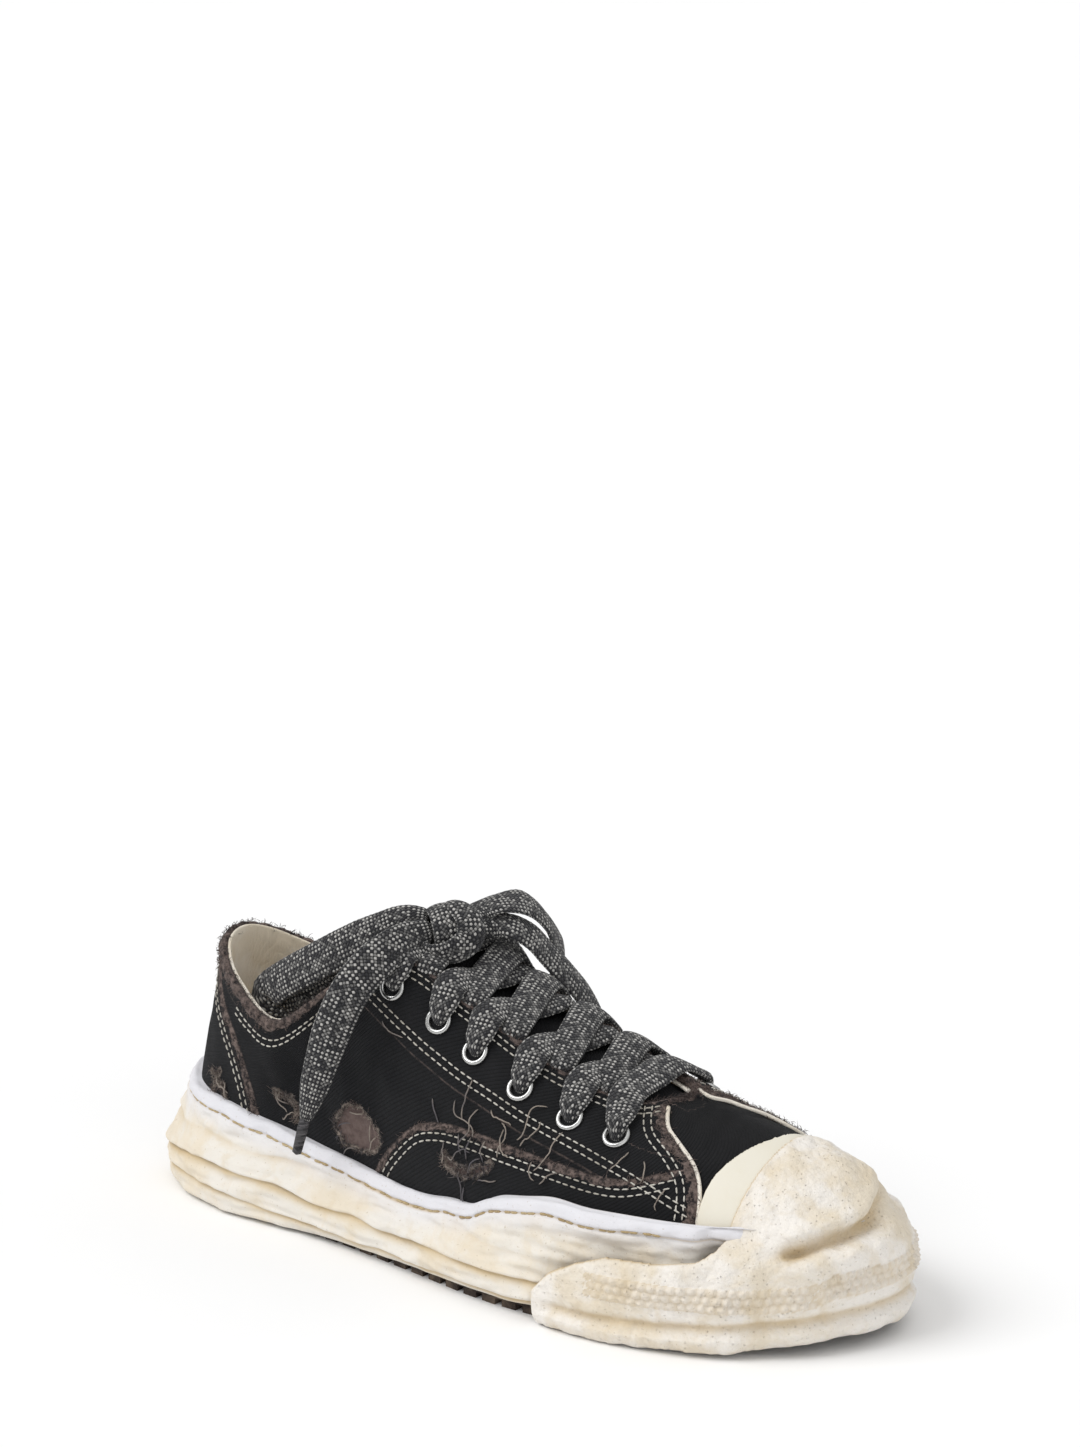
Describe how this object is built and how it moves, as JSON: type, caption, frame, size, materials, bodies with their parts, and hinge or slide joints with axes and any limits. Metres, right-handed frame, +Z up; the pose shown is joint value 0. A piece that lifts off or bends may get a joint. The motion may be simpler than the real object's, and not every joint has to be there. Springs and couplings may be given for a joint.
{
  "type": "worn-out canvas sneaker",
  "caption": "Low right-foot canvas sneaker, frayed and torn, with an exaggerated lumpy off-white sole, melted-looking toe bumper and flat speckled laces tied in a loose bow.",
  "frame": {"origin": "centre of the bounding box at its bottom, where the sole meets the floor", "axes": "+X to the toe, +Y to the inner side of the foot, +Z up"},
  "size_m": [0.313, 0.1187, 0.1233],
  "materials": {
    "outsole": "dark brown ribbed rubber",
    "clay": "off-white rubber, yellowed, uneven and hand-shaped",
    "cap": "smooth cream rubber",
    "canvas": "near-black cotton twill, frayed at its edges",
    "insole": "tan cotton over foam",
    "eyelet": "plain bright metal",
    "lace": "coarse flat weave of black and pale grey yarn",
    "aglet": "dark wrapped tip"
  },
  "bodies": {
    "root": {"outsole": "outsole", "midsole": "clay", "toe_bumper": "clay", "toe_cap": "cap", "upper": "canvas", "insole": "insole", "tongue": "canvas", "lace_crossings": "lace", "lace_knot": "lace", "lace_loop_outer": "lace", "lace_end_outer": "lace", "lace_loop_inner": "lace", "lace_end_inner": "lace", "aglet_outer": "aglet", "aglet_inner": "aglet", "eyelet_outer_1": "eyelet", "eyelet_outer_2": "eyelet", "eyelet_outer_3": "eyelet", "eyelet_outer_4": "eyelet", "eyelet_outer_5": "eyelet", "eyelet_outer_6": "eyelet", "eyelet_inner_1": "eyelet", "eyelet_inner_2": "eyelet", "eyelet_inner_3": "eyelet", "eyelet_inner_4": "eyelet", "eyelet_inner_5": "eyelet", "eyelet_inner_6": "eyelet"}
  },
  "joints": []
}
